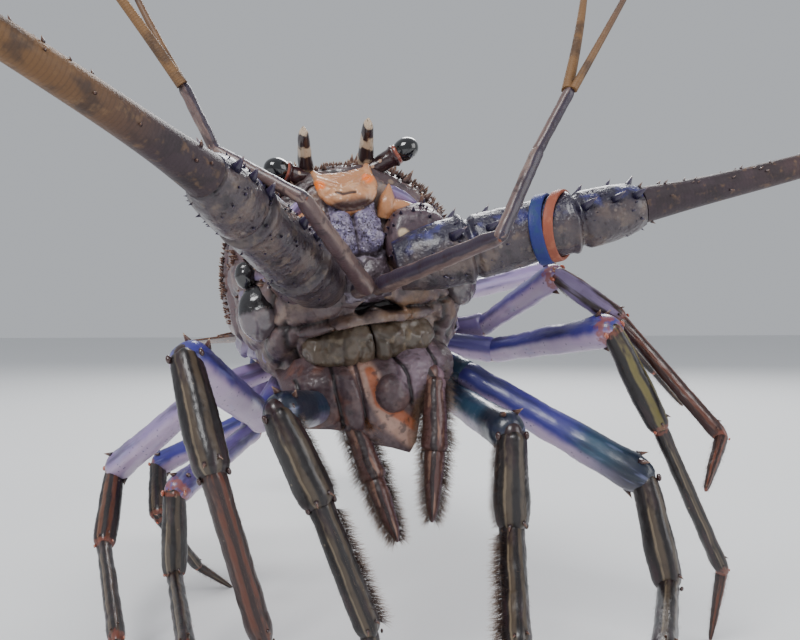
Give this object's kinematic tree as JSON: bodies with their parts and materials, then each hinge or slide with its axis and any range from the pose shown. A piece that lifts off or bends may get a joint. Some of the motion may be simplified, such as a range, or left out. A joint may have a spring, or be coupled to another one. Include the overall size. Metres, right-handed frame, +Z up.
{
  "type": "spiny lobster model",
  "caption": "Life-size still model of a Caribbean spiny lobster standing on eight of its legs, with spread antennae and two rubber bands round one antenna.",
  "frame": {"origin": "middle of the model's overall box, on the floor that the feet stand on", "axes": "+Z up, the head towards -Y, the animal's own left towards +X"},
  "size_m": [0.8983, 0.5873, 0.3033],
  "materials": {
    "shell": "satin",
    "underside": "matt",
    "head_plate": "satin",
    "horn": "gloss",
    "cornea": "high gloss",
    "mouth": "satin",
    "antenna": "satin",
    "flagellum": "satin",
    "antennule": "satin",
    "mouth_leg": "satin",
    "merus": "satin",
    "leg": "satin",
    "tail": "satin",
    "fan": "satin",
    "blue_rubber": "matt",
    "orange_rubber": "matt"
  },
  "bodies": {
    "root": {"carapace": "shell", "breast": "underside", "head_plate": "head_plate", "eyestalk_left": "horn", "eye_left": "cornea", "eyestalk_right": "horn", "eye_right": "cornea", "mandibles": "mouth", "antenna_base_left": "antenna", "antenna_arm_left": "antenna", "antenna_inner_left": "flagellum", "antenna_outer_left": "flagellum", "antenna_base_right": "antenna", "antenna_arm_right": "antenna", "antenna_inner_right": "flagellum", "antenna_outer_right": "flagellum", "antennule_left": "antennule", "antennule_left_outer": "antennule", "antennule_left_inner": "antennule", "antennule_right": "antennule", "antennule_right_outer": "antennule", "antennule_right_inner": "antennule", "maxilliped_left": "mouth_leg", "maxilliped_right": "mouth_leg", "leg_upper_left_1": "merus", "leg_lower_left_1": "leg", "leg_upper_left_2": "merus", "leg_lower_left_2": "leg", "leg_upper_left_3": "merus", "leg_lower_left_3": "leg", "leg_upper_left_4": "merus", "leg_lower_left_4": "leg", "leg_upper_left_5": "merus", "leg_lower_left_5": "leg", "leg_upper_right_1": "merus", "leg_lower_right_1": "leg", "leg_upper_right_2": "merus", "leg_lower_right_2": "leg", "leg_upper_right_3": "merus", "leg_lower_right_3": "leg", "leg_upper_right_4": "merus", "leg_lower_right_4": "leg", "leg_upper_right_5": "merus", "leg_lower_right_5": "leg", "abdomen_1": "tail", "abdomen_2": "tail", "abdomen_3": "tail", "abdomen_4": "tail", "abdomen_5": "tail", "abdomen_6": "tail", "telson": "fan", "uropod_inner_left": "fan", "uropod_inner_right": "fan", "uropod_outer_left": "fan", "uropod_outer_right": "fan", "band_blue": "blue_rubber", "band_orange": "orange_rubber"}
  },
  "joints": []
}
